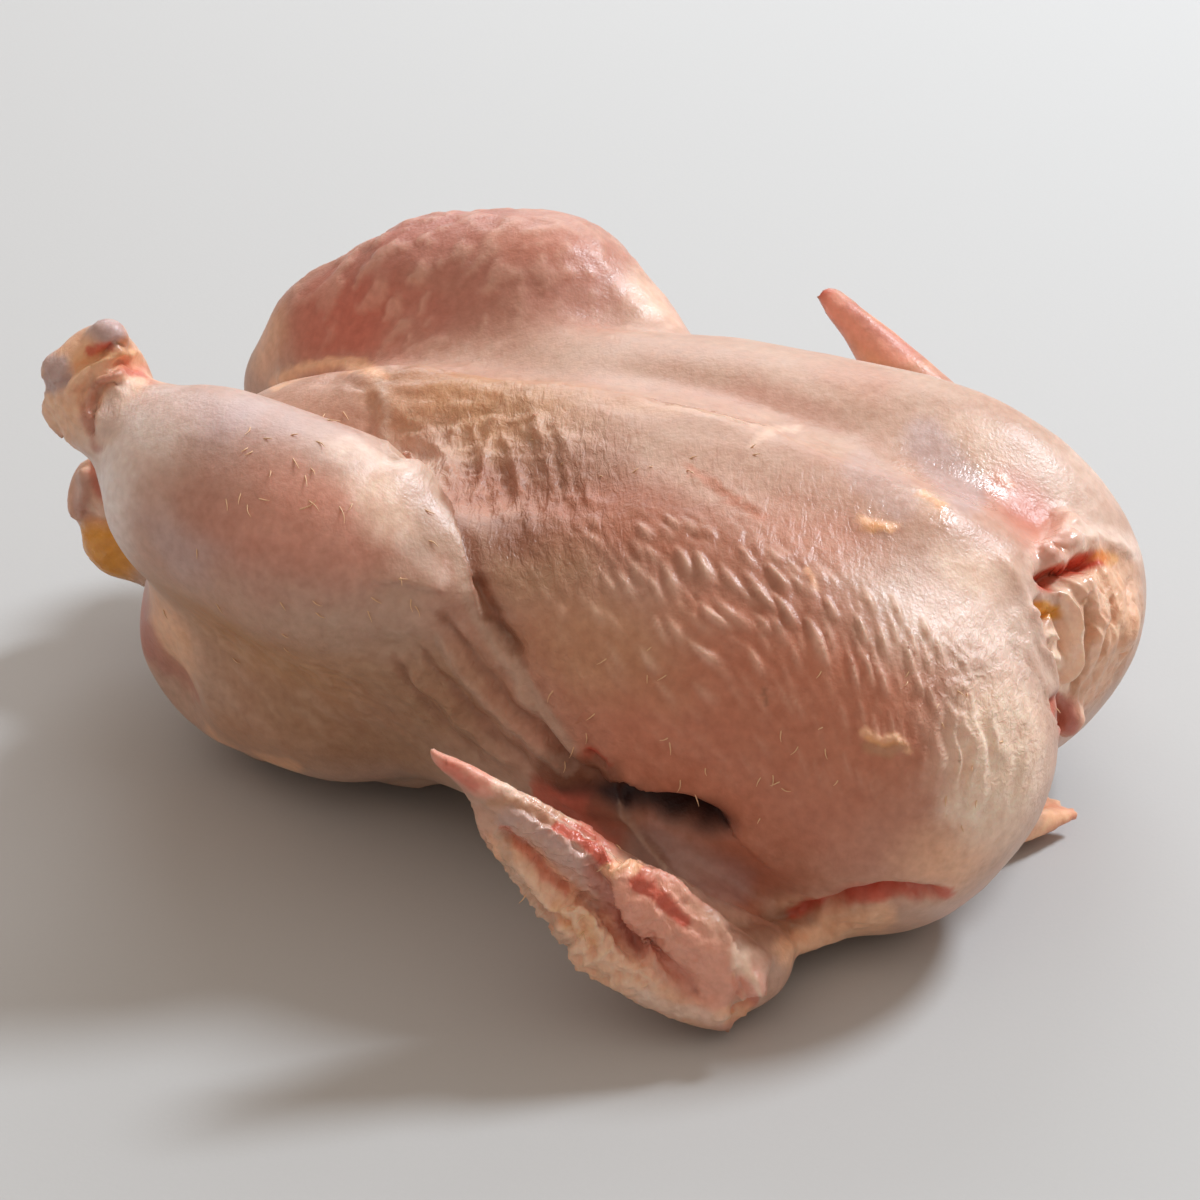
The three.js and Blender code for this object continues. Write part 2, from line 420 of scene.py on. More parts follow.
def skin_material(name):
    """Thin moist skin: vertex tints with fine mottling, pores and creases over them."""
    material = bpy.data.materials.new(name)
    n = Nodes(material, "Principled BSDF")
    fine = n.texture(420)
    mottle = n.mixed("MIX", fine, (0.86, 0.75, 0.68, 1), (1.3, 1.31, 1.3, 1))
    gloss = n.ranged(fine, 0.3, 0.7, 0.31, 0.46)
    wet_gloss = n.maths("MULTIPLY", n.attribute("wet", "Fac"), 0.18)
    pores = n.bump({"Height": n.texture(1100), "Distance": 0.0004, "Strength": 0.35})
    # Creases are drawn out across the length of the bird
    place, turn, size = n.place["Object"], (0.34, 0, -1.18), (0.006, 0.0017, 0.0017)
    inputs = {"Vector": place, "Rotation": turn, "Scale": size}
    drawn_out = n.add("ShaderNodeMapping", inputs, vector_type="TEXTURE").outputs["Vector"]
    creases = n.texture(1, detail=5, distortion=0.6, place=drawn_out)
    slack = n.attribute("slack", "Fac")
    n.feed(n.main, {
        "Base Color": n.mixed("MULTIPLY", 1, n.attribute("tint", "Color"), mottle),
        "Roughness": n.maths("SUBTRACT", gloss, wet_gloss),
        "Subsurface Weight": 0.2,
        "Subsurface Radius": (1, 0.3, 0.18),
        "Subsurface Scale": 0.004,
        "IOR": 1.42,
        "Normal": n.bump({"Height": creases, "Distance": 0.0009, "Strength": slack, "Normal": pores}),
    })
    return material


def hair_material(name):
    material = bpy.data.materials.new(name)
    n = Nodes(material, "Principled BSDF")
    n.feed(n.main, {"Base Color": (0.82, 0.52, 0.3, 1), "Roughness": 0.4})
    return material


def table_material(name, colour):
    """Plain and matt, with a faint grain."""
    material = bpy.data.materials.new(name)
    n = Nodes(material, "Principled BSDF")
    grain = n.texture(900)
    low, high = ((*(v * change for v in colour), 1) for change in (0.985, 1.015))
    n.feed(n.main, {
        "Base Color": n.mixed("MIX", grain, low, high),
        "Roughness": 0.75,
        "Normal": n.bump({"Height": grain, "Distance": 0.0001, "Strength": 0.2}),
    })
    return material


def room_light(name, strength):
    """Warm light from all round, weaker near the table than overhead."""
    world = bpy.data.worlds.new(name)
    n = Nodes(world, "Background")
    height = n.add("ShaderNodeSeparateXYZ", {"Vector": n.place["Generated"]}).outputs["Z"]
    rise = n.ranged(height, 0, 0.8, 0.45 * strength, 1.35 * strength)
    n.feed(n.main, {"Color": (1, 0.87, 0.76, 1), "Strength": rise})
    return world


# Skin: the bird's whole surface

# Strands of flesh and skin, each through stations of x, y, z and radius
STRANDS = (
    # Folds of the neck skin
    ((106, -8, 77, 3.5), (113, -7, 62, 3.5), (113, -2, 42, 3.5)),
    ((108, 2, 79, 3), (118, 6, 62, 3), (114, 8, 40, 3.5)),
    ((108, 12, 79, 3), (121, 14, 58, 4), (115, 13, 38, 3.5)),
    ((106, 20, 78, 4), (123, 22, 55, 4.5), (115, 20, 38, 4)),
    ((100, 30, 70, 6), (120, 32, 54, 6), (110, 30, 38, 5)),
    # Rolls of skin at the near hock
    ((-99, -61, 91, 2), (-106, -58, 90, 2.6), (-113, -48, 88, 3), (-110, -34, 90, 2.6)),
    ((-98, -58, 96, 2), (-107, -57, 96, 2.6), (-117, -46, 94, 3), (-110, -31, 97, 2.6)),
    ((-97, -50, 104, 2.5), (-106, -52, 103, 3), (-115, -46, 102, 3), (-106, -34, 106, 3)),
    # Skin flap at the front, on the table
    ((98, -12, 8, 4), (106, -2, 6, 4), (113, 8, 5, 2.6), (117, 14, 4.6, 1.7)),
    ((104, -8, 12, 3), (110, 4, 7, 2.6), (115, 11, 4.4, 2)),
    # Fold over the tail, and one more at the hock
    ((-124, -4, 50, 4), (-133, -4, 51, 5), (-139, -5, 45, 5), (-138, -8, 37, 4)),
    ((-116, -52, 96, 2), (-119, -49, 90, 2.4), (-115, -48, 84, 2)),
    # Rim and pleats of the near wing
    ((8, -108, 64, 1.6), (20, -107, 58, 3), (33, -105, 49, 3.6), (47, -101, 39, 3.6), (54, -98, 33, 3)),
    ((44, -103, 40, 2), (52, -101, 36, 4), (61, -98, 30, 6), (70, -95, 22, 7), (77, -92, 14, 7)),
    ((40, -106, 30, 4), (50, -103, 19, 6), (61, -99, 12, 7), (72, -95, 9, 7)),
    ((70, -95, 5, 3), (74, -97, 4, 2.5)),
)

# Rounder forms that stand out of the skin: place and half sizes
LUMPS = (
    ((-104, -44, 110), (5, 5, 5)),
    ((-115, -49, 102), (4.4, 4.4, 4.6)),
    ((117, -1, 39), (4, 5, 5)),
)

# Soft hollows and swellings: height, place and half sizes
SWELLS = (
    (-4, (-4, -38, 92), (34, 20, 18)),
    (-10, (50, -71, 37), (18, 12, 8)),
    (-4, (34, -74, 38), (14, 10, 9)),
    (1.2, (-9, -70, 80), (9, 7, 7)),
    (-2.5, (-103, -44, 84), (8, 20, 5)),
    (-2.5, (-22, -72, 66), (26, 10, 8)),
    (-6.5, (-86, -60, 26), (16, 16, 22)),
)

# Ridges and creases: height, width and the places that each one runs through
FOLDS = (
    # Between the near drumstick and the breast
    (-2, 4, (-26, -37, 88), (-15, -50, 91), (-6, -59, 88), (-1, -66, 81), (3, -68, 75), (10, -70, 66)),
    (-3, 3, (3, -68, 75), (10, -70, 66), (18, -73, 53), (25, -73, 45), (33, -73, 40)),
    # Between the far leg and the flank
    (-6, 5, (-86, 40, 84), (-62, 44, 88), (-40, 46, 88), (-18, 46, 88), (2, 50, 84), (14, 58, 74)),
    # Skin on the rear of the keel
    (1, 1.4, (-43, -17, 85), (-37, -18, 86), (-29, -23, 86), (-24, -36, 88)),
    (1.2, 1.6, (-21, -11, 93), (-18, -22, 89), (-12, -44, 89)),
    (1, 1.5, (-15, -11, 95), (-9, -27, 91), (2, -50, 88)),
    (0.9, 1.5, (-12, -11, 95), (-1, -27, 93), (10, -48, 89)),
    (0.8, 1.4, (-7, -12, 96), (6, -27, 94), (18, -44, 91)),
    (0.9, 1.5, (-30, -8, 93), (-29, -18, 87), (-22, -36, 88)),
    # Crest of the keel and the hollow on its far side
    (1, 4, (-58, 8, 92), (-36, 2, 95), (-2, 0, 98), (24, -4, 98), (56, -8, 97), (84, -7, 90)),
    (-1.5, 7, (-10, 20, 95), (23, 17, 96), (43, 15, 94), (62, 17, 92)),
    (0.7, 2, (32, -23, 96), (44, -29, 94), (54, -32, 92)),
    # Where the near wing joins the breast
    (-2.5, 1.8, (81, -66, 17), (90, -68, 23), (96, -67, 26), (102, -63, 26), (108, -57, 22)),
    (-3, 2, (56, -80, 34), (60, -78, 28), (65, -76, 22), (71, -74, 16)),
    # Front edge of the breast at the neck
    (1.6, 2.4, (101, -10, 84), (107, -13, 78), (113, -16, 67), (117, -17, 55), (122, -26, 48)),
)

# Finely wrinkled skin: height, length and width of a wrinkle, the way it runs, and where it is
WRINKLES = (
    (0.5, 8, 1.5, (1, -0.15, 0), (-40, -2, 90), (34, 26, 16)),
    (0.4, 14, 1.6, (0.35, -0.85, -0.3), (-2, -30, 91), (34, 30, 22)),
    (0.55, 3.5, 1.7, (1, 0, 0.3), (42, -106, 28), (50, 14, 44)),
    (0.45, 12, 1.7, (1, -0.1, 0), (30, 4, 97), (70, 16, 12)),
    (0.3, 14, 1.6, (0.6, -0.6, -0.5), (48, -48, 88), (60, 22, 20)),
    (0.8, 40, 2.4, (0.1, -0.35, -0.93), (110, -40, 60), (18, 32, 34)),
    (0.4, 14, 2.2, (0.5, 0, -0.87), (-6, -72, 56), (20, 10, 26)),
    (0.25, 7, 2, (0.8, 0, -0.6), (-50, -64, 44), (48, 22, 30)),
    (0.9, 8, 2, (0.5, 0.2, 0.85), (40, -107, 26), (24, 8, 18)),
    (0.35, 12, 1.4, (0.55, 0.1, -0.8), (62, -100, 20), (22, 10, 18)),
    (0.5, 9, 2, (0.1, 0.2, 1), (118, 16, 52), (14, 28, 30)),
    (0.5, 9, 1.7, (0.3, 1, 0), (-110, -46, 97), (14, 20, 14)),
    (0.6, 9, 2, (0.3, -1, 0.2), (84, -70, 16), (16, 16, 10)),
    (0.4, 10, 2.6, (0.2, 0.3, 1), (-60, 66, 70), (60, 22, 40)),
    (0.5, 7, 2, (1, 0, 0.3), (-126, -2, 36), (22, 18, 22)),
)

# Small drops of skin on the legs: strength, length and width of a drop, the way it runs, and where it is
DROPS = (
    (0.45, 9, 2.6, (0.2, 0.25, 1), (-62, 58, 86), (66, 40, 34)),
    (0.22, 5, 1.9, (0.7, 0, -0.7), (-54, -72, 44), (46, 22, 26)),
    (0.2, 6, 1.9, (0.9, 0.2, 0.2), (-24, -16, 92), (40, 30, 12)),
)

# The parts that face the camera, each as the low and high corner of a box round it
PARTS = {
    "wing": ((2, -125, -1), (88, -91, 72)),
    "arm": ((14, -97, -1), (112, -52, 58)),
    "neck": ((98, -24, 28), (135, 48, 88)),
    "hock": ((-125, -72, 74), (-84, -22, 122)),
    "tail": ((-150, -36, 0), (-100, 26, 64)),
    "trunk": ((-150, -90, -1), (130, 60, 112)),
    "far": ((-2, 70, 20), (84, 125, 90)),
}

# Ridges and creases as the camera sees them, by part: height, width and the places in the picture that
# each one runs through
RIDGES = {
    # Near wing: folded rim, face, groove and pleats
    "wing": (
        (1, 7, (440, 762), (466, 772), (500, 786), (540, 802), (575, 822), (600, 846)),
        (-1.2, 5, (488, 803), (512, 806), (540, 818), (566, 836), (592, 864)),
        (0.7, 4, (488, 808), (509, 803), (539, 811), (560, 820)),
        (-3, 6, (500, 826), (522, 848), (545, 874), (566, 890), (590, 908), (618, 934), (640, 962)),
        (1.6, 8, (506, 850), (528, 874), (552, 896), (580, 922), (612, 952), (640, 976)),
        (-1.8, 5, (586, 862), (602, 884), (618, 906), (630, 930), (646, 958)),
        (-1.8, 4, (520, 880), (536, 896), (548, 914), (556, 930)),
        (-1.6, 4, (552, 908), (566, 926), (572, 944)),
        (-1.6, 4, (574, 916), (588, 936), (598, 960)),
        (-1.2, 4, (600, 940), (614, 958), (624, 978)),
        (1.2, 4, (528, 868), (546, 890), (564, 912)),
        (1.2, 4, (540, 906), (556, 934), (576, 956), (596, 976)),
        (1, 4, (566, 902), (584, 920), (600, 944), (622, 968)),
        (-1, 4, (650, 930), (668, 954), (690, 984), (712, 1006)),
        (0.8, 4, (640, 940), (664, 974), (690, 1002)),
        (0.8, 4, (668, 936), (692, 966), (716, 990)),
        (1, 5, (620, 872), (650, 882), (684, 898), (712, 914), (730, 936), (740, 966)),
        (-0.8, 5, (632, 886), (660, 904), (690, 926), (716, 948)),
        (-2.2, 5, (738, 970), (742, 990), (738, 1010)),
        (2, 7, (752, 978), (764, 996)),
        (1.4, 3, (716, 1016), (730, 1012), (746, 1010)),
        (0.8, 4, (436, 752), (456, 768), (474, 780)),
    ),
    # Forearm and armpit behind the wing
    "arm": (
        (1.6, 5, (612, 796), (630, 820), (650, 850), (676, 884), (706, 900)),
        (-1.2, 6, (624, 800), (646, 830), (668, 862), (700, 890)),
        (0.8, 4, (560, 796), (590, 822), (616, 852)),
        (-2.2, 5, (722, 922), (760, 920), (798, 910), (832, 903), (877, 896), (921, 893), (949, 891)),
        (1, 6, (780, 950), (812, 942), (840, 930), (880, 916)),
        (-1.6, 3, (588, 747), (598, 754), (610, 760)),
    ),
    # Neck opening
    "neck": (
        (-6, 7, (1044, 590), (1052, 580), (1066, 570), (1082, 563), (1096, 560)),
        (1.6, 8, (1036, 560), (1052, 548), (1074, 538), (1098, 538), (1118, 548), (1132, 560)),
        (-4, 6, (1036, 602), (1044, 612), (1052, 616)),
        (2, 5, (1046, 594), (1062, 592), (1074, 606), (1079, 630), (1077, 660), (1062, 690)),
        (-2, 4, (1056, 606), (1064, 630), (1062, 660)),
        (2, 5, (1048, 632), (1054, 640)),
        (1.8, 5, (1048, 656), (1056, 662)),
        (-1.8, 4, (1086, 600), (1090, 630), (1086, 662), (1074, 694)),
        (1.4, 5, (1082, 572), (1094, 590), (1100, 616), (1096, 650)),
        (-1.4, 4, (1108, 590), (1112, 620), (1106, 652), (1094, 684)),
        (-1.2, 4, (1126, 580), (1130, 612), (1122, 650), (1108, 680)),
        (1, 4, (1064, 576), (1076, 582), (1086, 592)),
        (-2.4, 5, (1050, 696), (1054, 712), (1056, 732)),
    ),
    # Rear: knobs, rolled skin and tail
    "hock": (
        (-2, 4, (62, 392), (74, 372), (96, 352), (118, 344), (138, 352)),
        (-1.8, 4, (76, 412), (82, 392), (100, 372), (126, 362), (150, 368)),
        (-2.4, 4, (88, 436), (90, 410), (102, 388), (124, 378)),
        (1.2, 4, (68, 400), (78, 382), (98, 362), (122, 353), (146, 358)),
        (1.2, 4, (82, 424), (86, 402), (100, 380), (124, 370)),
    ),
    "tail": (
        (-2.5, 5, (94, 462), (96, 482), (104, 500), (110, 516)),
        (-1.5, 5, (82, 516), (96, 520), (112, 516), (122, 524)),
        (1.4, 6, (84, 470), (86, 490), (84, 508)),
    ),
    # Knee and the folds that run down from it
    "trunk": (
        (-2.2, 7, (474, 572), (486, 602), (500, 628), (518, 662)),
        (2, 7, (470, 582), (488, 624), (507, 664), (532, 708), (566, 750), (600, 784)),
        (-2, 7, (440, 612), (460, 640), (482, 672), (512, 708), (548, 746), (586, 784)),
        (1.7, 6, (436, 640), (462, 674), (492, 708), (532, 746), (569, 774)),
        (-1.6, 6, (424, 656), (456, 694), (496, 734), (536, 768)),
        (1.2, 6, (412, 668), (444, 702), (482, 738), (516, 768)),
        (-1.3, 6, (392, 660), (424, 700), (456, 734), (484, 760)),
        # Torn flecks of outer skin
        (0.9, 4, (862, 522), (874, 527), (890, 529)),
        (0.7, 3, (918, 492), (930, 500), (944, 508)),
        (0.9, 5, (864, 732), (880, 742), (896, 738), (908, 750)),
        (0.7, 4, (870, 746), (888, 752), (904, 744)),
        (0.6, 3, (806, 570), (812, 580), (814, 590)),
        (0.6, 3, (756, 424), (772, 432), (796, 447)),
        (0.7, 3, (1002, 478), (1012, 486)),
        # Frilled edge of the skin over the belly, and skin ridges beside it
        (1.6, 6, (276, 384), (300, 372), (332, 364), (356, 362)),
        (1, 4, (378, 386), (386, 404), (384, 432), (394, 462)),
        (-1, 5, (310, 386), (342, 378), (362, 388), (372, 408), (372, 438)),
        (0.8, 4, (396, 378), (420, 370), (446, 368), (476, 366)),
        (0.9, 4, (521, 389), (533, 411), (540, 430), (548, 450)),
        (-0.8, 4, (404, 400), (420, 420), (450, 424), (480, 414), (510, 408)),
        (0.8, 5, (396, 408), (424, 430), (440, 452), (458, 480)),
        (0.8, 4, (470, 420), (480, 450), (496, 486), (506, 520)),
        (0.8, 4, (500, 430), (514, 466), (526, 500), (530, 540)),
        (0.7, 4, (560, 430), (566, 470), (576, 500)),
        (-1, 4, (688, 466), (712, 482), (728, 498), (748, 508), (765, 519)),
    ),
}

# Edges of skin that lie over what is beside them, high on the right of the line: part, height, width and
# picture places
LIPS = (
    (
        "wing", 2.4, 30, (664, 990), (644, 950), (626, 910), (606, 874),
        (630, 866), (660, 880), (700, 903),
    ),
    ("arm", 3, 20, (780, 872), (740, 838), (700, 808), (660, 790), (620, 780), (596, 782)),
    ("trunk", 3.4, 44, (384, 450), (423, 473), (446, 499), (463, 536), (469, 578), (484, 616)),
    ("trunk", 1.4, 16, (446, 592), (420, 588), (392, 586), (366, 580)),
    ("neck", 1.4, 10, (1030, 604), (1036, 640), (1046, 676), (1056, 700)),
)

# Where finer faces are wanted, and where the finest: place and half sizes
FINE_ZONES = (
    ((62, -58, 72), (66, 30, 34)),
    ((-14, -46, 80), (34, 36, 34)),
    ((-2, -70, 54), (40, 14, 24)),
    ((116, 6, 60), (20, 32, 34)),
    ((45, -104, 32), (50, 14, 42)),
    ((-108, -48, 98), (18, 20, 22)),
    ((-132, -6, 40), (14, 14, 18)),
    ((54, -72, 34), (34, 12, 20)),
    ((90, -68, 18), (18, 10, 12)),
)
FINEST_ZONES = (
    ((116, 2, 64), (10, 16, 18)),
    ((44, -105, 36), (32, 9, 22)),
)


def stretched(points, length, width, way, seed):
    """Noise drawn out along one way."""
    way = np.asarray(way, float) / np.linalg.norm(way)
    aligned = (points @ way)[:, None] * way
    return noise((points - aligned) / width + aligned / length, 1, seed)


def shaken(points, much, size, seeds, kind=rough):
    """The points moved a little each way, so that edges wander."""
    return points + much * np.stack([kind(points, size, seed) for seed in seeds], axis=1)


def loose_points(points):
    return shaken(points, 1.2, 5, (60, 61, 62), kind=noise)


def tapered(share, part, least=0):
    """1 along a line, easing down over this part of it at both ends."""
    return eased(np.minimum(share, 1 - share) / part + least)


def parted(points, normals):
    """Which points belong to each part that faces the camera."""
    facing = eased((normals @ BACK) * 4)
    return {
        part: facing * np.all((points > low) & (points < high), axis=1)
        for part, (low, high) in PARTS.items()
    }


def relief(points, bumps, parts):
    """How far the skin stands out at each point, in millimetres."""
    # Broad and fine unevenness all over
    height = 0.3 * rough(points, 22, 3) + 0.1 * rough(points, 5, 9)
    for size, at, radii in SWELLS:
        height += size * around(points, at, radii, edge=1)
    for size, width, *line in FOLDS:
        far, share, _ = along(points, line)
        height += size * tapered(share, 0.15, 0.15) * np.exp(-((far / width) ** 1.5))
    loose = loose_points(points)
    for k, (size, length, width, way, at, radii) in enumerate(WRINKLES):
        near = around(points, at, radii)
        ridged = 1 - 2.2 * np.abs(stretched(loose, length, width, way, 70 + k))
        height += size * near * ridged
    flat = seen(loose)
    for part, ridges in RIDGES.items():
        for size, width, *line in ridges:
            far, share, _ = along(flat, line)
            height += size * parts[part] * tapered(share, 0.12, 0.1) * np.exp(-((far / width) ** 1.6))
    for part, size, width, *line in LIPS:
        far, share, side = along(flat, line)
        high = eased(side * far / 3 + 0.5) * np.exp(-np.maximum(side * far, 0) / width)
        height += size * parts[part] * tapered(share, 0.15) * high
    return height + bumps * settings().bump_height / MM


def feather_bumps(points):
    """Rows of long bumps down the near side of the breast, where the feathers grew, from 0 to 1."""
    x, y, z = points.T
    # Forward runs along the breast, and down runs down its side from the top
    turn = SIDE_RADIUS * np.arctan2(SIDE_Y - y, z - SIDE_Z)
    forward = x + 2.5 * noise(points, 18, 21)
    down = turn + 2.5 * noise(points, 16, 22)
    # The rows slant, and less so toward the neck
    lean = eased((x - 60) / 60)
    ahead, below = 0.66 + 0.22 * lean, 0.75 - 0.28 * lean
    across = (forward * ahead - down * below) / BUMP_ACROSS
    length = (forward * below + down * ahead) / BUMP_ALONG
    cells = np.stack([across, length, np.zeros_like(across)], axis=1)
    cells = np.floor(cells).astype(np.int64)
    height = np.zeros(len(points))
    for da, dl in itertools.product((-1, 0, 1), repeat=2):
        cell = cells + (da, dl, 0)
        middle_a = cell[:, 0] + 0.5 + 0.7 * (lattice(cell, 5) - 0.5)
        middle_l = cell[:, 1] + 0.5 + 0.7 * (lattice(cell, 6) - 0.5) + 0.5 * (cell[:, 0] % 2)
        size = np.maximum(0.12, 1.2 * lattice(cell, 7) - 0.2)
        length_off = (length - middle_l) / (0.34 + 0.26 * lattice(cell, 4))
        # Each is a drop, thin where it starts and thick at its lower end
        wide = (0.26 + 0.12 * lattice(cell, 8)) * (1 + 0.35 * np.clip(length_off, -1.5, 1))
        across_off = (across - middle_a) / wide
        height = np.maximum(height, size * np.exp(-(across_off**2) - np.abs(length_off) ** 2.4))
    # They fade out at both ends of the breast, at its top and low on its side
    zone = eased((x + 5) / 60) * eased((112 - x) / 16)
    zone *= eased((down - 5) / 12) * (0.25 * eased((80 - down) / 20) + 0.75 * eased((56 - down) / 16))
    zone *= (y < -12) & (y > -86) & (np.abs(down) < 90)
    height *= zone
    for strength, length, width, way, at, radii in DROPS:
        drops = eased(3 * (stretched(loose_points(points), length, width, way, 91) - 0.05))
        height = np.maximum(height, strength * drops * around(points, at, radii))
    return height


# Soft patches of colour: tone, strength, place and half sizes
PATCHES = (
    # Breast
    # Painted shade: the near side of the breast, away from the key light, is tinted darker and redder
    ("blush_and_shade", 0.9, (62, -68, 56), (86, 36, 56)),
    ("yellow", 0.75, (30, -66, 72), (34, 18, 18)),
    ("blush_and_shade", 1, (74, -58, 74), (46, 20, 26)),
    ("pink", 0.5, (60, -30, 92), (50, 18, 12)),
    ("blush_and_shade", 0.45, (66, -30, 90), (20, 12, 10)),
    # Painted shade on the breast below the crest of the keel, where the crest keeps the key light off
    ("ochre_shade", 0.85, (-10, -30, 90), (20, 16, 14)),
    ("ochre_shade", 1, (8, -34, 92), (22, 16, 12)),
    ("ochre_shade", 1, (28, -42, 92), (26, 14, 12)),
    ("sand", 0.9, (12, -56, 84), (22, 14, 14)),
    # Painted sheen and highlight: paler and whiter at the front of the breast
    ("pearl_sheen", 1, (104, -26, 76), (28, 22, 26)),
    ("white", 0.8, (119, -46, 52), (14, 24, 26)),
    ("tan", 0.55, (110, -60, 34), (20, 22, 18)),
    ("yellow", 0.95, (-38, -2, 92), (30, 18, 12)),
    ("ochre_shade", 0.4, (-46, -2, 92), (16, 14, 8)),
    ("straw", 0.7, (-26, -10, 93), (42, 26, 14)),
    # Painted shade: a red-brown band along the middle of the breast where it turns from the light,
    # darkest beside the knee
    ("clay_shade", 1, (28, -44, 90), (56, 20, 18)),
    ("clay_shade", 0.75, (66, -48, 85), (40, 18, 16)),
    ("clay_shade", 0.7, (-16, -40, 90), (20, 16, 12)),
    ("umber_shade", 0.9, (-1, -52, 87), (18, 12, 12)),
    ("blush_and_shade", 0.8, (92, -58, 56), (22, 14, 16)),
    # Painted highlights: white at the front of the breast, at glints on its top and far shoulder, and
    # along the crest of the keel
    ("white", 1, (116, -48, 56), (16, 24, 34)),
    ("white", 0.7, (98, -18, 83), (14, 11, 9)),
    ("white", 0.45, (84, -10, 92), (13, 9, 6)),
    ("white", 0.4, (86, 24, 90), (24, 16, 12)),
    ("yellow", 0.5, (6, -2, 98), (40, 6, 8)),
    ("white", 0.3, (26, -4, 99), (46, 5, 6)),
    ("pink", 0.6, (-76, -4, 84), (24, 22, 14)),
    ("rose", 0.25, (40, 18, 94), (44, 8, 8)),
    ("blush_and_shade", 0.35, (50, 34, 94), (22, 14, 8)),
    # Painted sheen on the far shoulder of the breast
    ("pearl_sheen", 0.6, (104, 34, 78), (24, 22, 20)),
    ("blush_and_shade", 0.8, (100, 17, 80), (12, 13, 9)),
    ("red", 0.6, (33, -74, 50), (4, 3, 3)),
    # Near leg
    ("yellow", 0.85, (-52, -74, 50), (54, 24, 32)),
    ("lilac", 0.9, (-62, -60, 100), (44, 24, 18)),
    ("pearl_sheen", 0.9, (-84, -68, 94), (24, 24, 22)),
    ("pink", 0.7, (-72, -78, 76), (22, 14, 16)),
    ("pink", 0.7, (-46, -76, 94), (50, 20, 24)),
    ("rose", 0.45, (-46, -80, 92), (50, 18, 22)),
    ("flesh", 0.55, (-32, -78, 95), (36, 16, 18)),
    # Painted sheen along the backlit top of the drumstick
    ("pearl_sheen", 0.85, (-26, -58, 101), (30, 9, 9)),
    ("white", 0.7, (-22, -68, 96), (14, 10, 9)),
    ("frost", 0.95, (-86, -64, 88), (24, 24, 26)),
    ("lilac", 0.6, (-66, -78, 82), (18, 12, 14)),
    ("straw", 0.6, (-50, -72, 54), (42, 20, 18)),
    ("pink", 0.8, (-9, -70, 86), (12, 10, 9)),
    ("sand", 0.9, (-36, -64, 34), (44, 20, 20)),
    ("sand", 0.9, (-8, -70, 52), (28, 14, 24)),
    ("tan", 0.8, (-86, -60, 44), (14, 14, 24)),
    ("yellow", 0.6, (-64, -62, 22), (24, 16, 12)),
    # Far leg
    ("rose", 1, (-62, 60, 82), (76, 44, 52)),
    ("red", 0.45, (-88, 40, 80), (38, 26, 22)),
    ("tan", 0.5, (-114, 46, 68), (14, 14, 16)),
    ("pink", 0.9, (-12, 66, 94), (22, 20, 20)),
    ("white", 0.6, (-8, 62, 96), (20, 16, 16)),
    ("blush_and_shade", 0.4, (-40, 56, 106), (30, 16, 12)),
    # Armpit and near wing
    ("red", 0.7, (30, -78, 36), (22, 10, 12)),
    # Painted shade: the hollow of the armpit painted near black
    ("dark", 1, (48, -70, 37), (20, 13, 9)),
    ("blush_and_shade", 0.8, (66, -74, 24), (18, 12, 14)),
    ("tan", 1, (46, -106, 24), (56, 16, 40)),
    ("flesh", 0.45, (44, -106, 30), (50, 14, 36)),
    ("lilac", 0.5, (36, -104, 46), (30, 9, 12)),
    ("rose", 0.6, (14, -107, 60), (12, 6, 7)),
    # Painted highlight on the wrist of the wing
    ("white", 0.35, (78, -96, 14), (14, 9, 12)),
    ("tan", 0.6, (84, -72, 15), (16, 14, 9)),
    ("red", 0.4, (94, -67, 24), (16, 6, 4)),
    # Far wing
    ("red", 0.4, (30, 107, 68), (30, 16, 22)),
    ("tan", 0.75, (32, 106, 66), (18, 12, 12)),
    # Neck
    ("tan", 0.8, (119, 12, 54), (16, 30, 36)),
    ("white", 0.4, (118, 4, 56), (12, 18, 30)),
    ("white", 0.6, (110, 10, 79), (12, 20, 6)),
    ("rose", 0.9, (118, -1, 39), (6, 6, 7)),
    ("tan", 1, (110, 4, 5), (20, 24, 7)),
    ("red", 0.6, (114, 8, 2), (14, 16, 4)),
    # Body cavity, with painted shade deep in it
    ("red", 0.55, (-66, 0, 54), (18, 15, 12)),
    ("umber_shade", 0.6, (-58, 0, 54), (12, 15, 12)),
    # Hock and tail
    ("tan", 1, (-108, -46, 97), (22, 26, 24)),
    ("white", 0.35, (-108, -50, 96), (18, 14, 16)),
    ("lilac", 0.9, (-104, -44, 112), (8, 8, 6)),
    ("lilac", 0.9, (-119, -44, 100), (7, 7, 7)),
    ("tan", 0.6, (-130, 0, 44), (24, 22, 18)),
    ("rose", 0.45, (-130, 0, 44), (22, 20, 16)),
    ("white", 0.4, (-128, -6, 46), (12, 12, 9)),
    ("fat", 0.9, (-130, -8, 28), (14, 14, 9)),
    ("rose", 0.5, (-96, -52, 42), (12, 14, 18)),
)

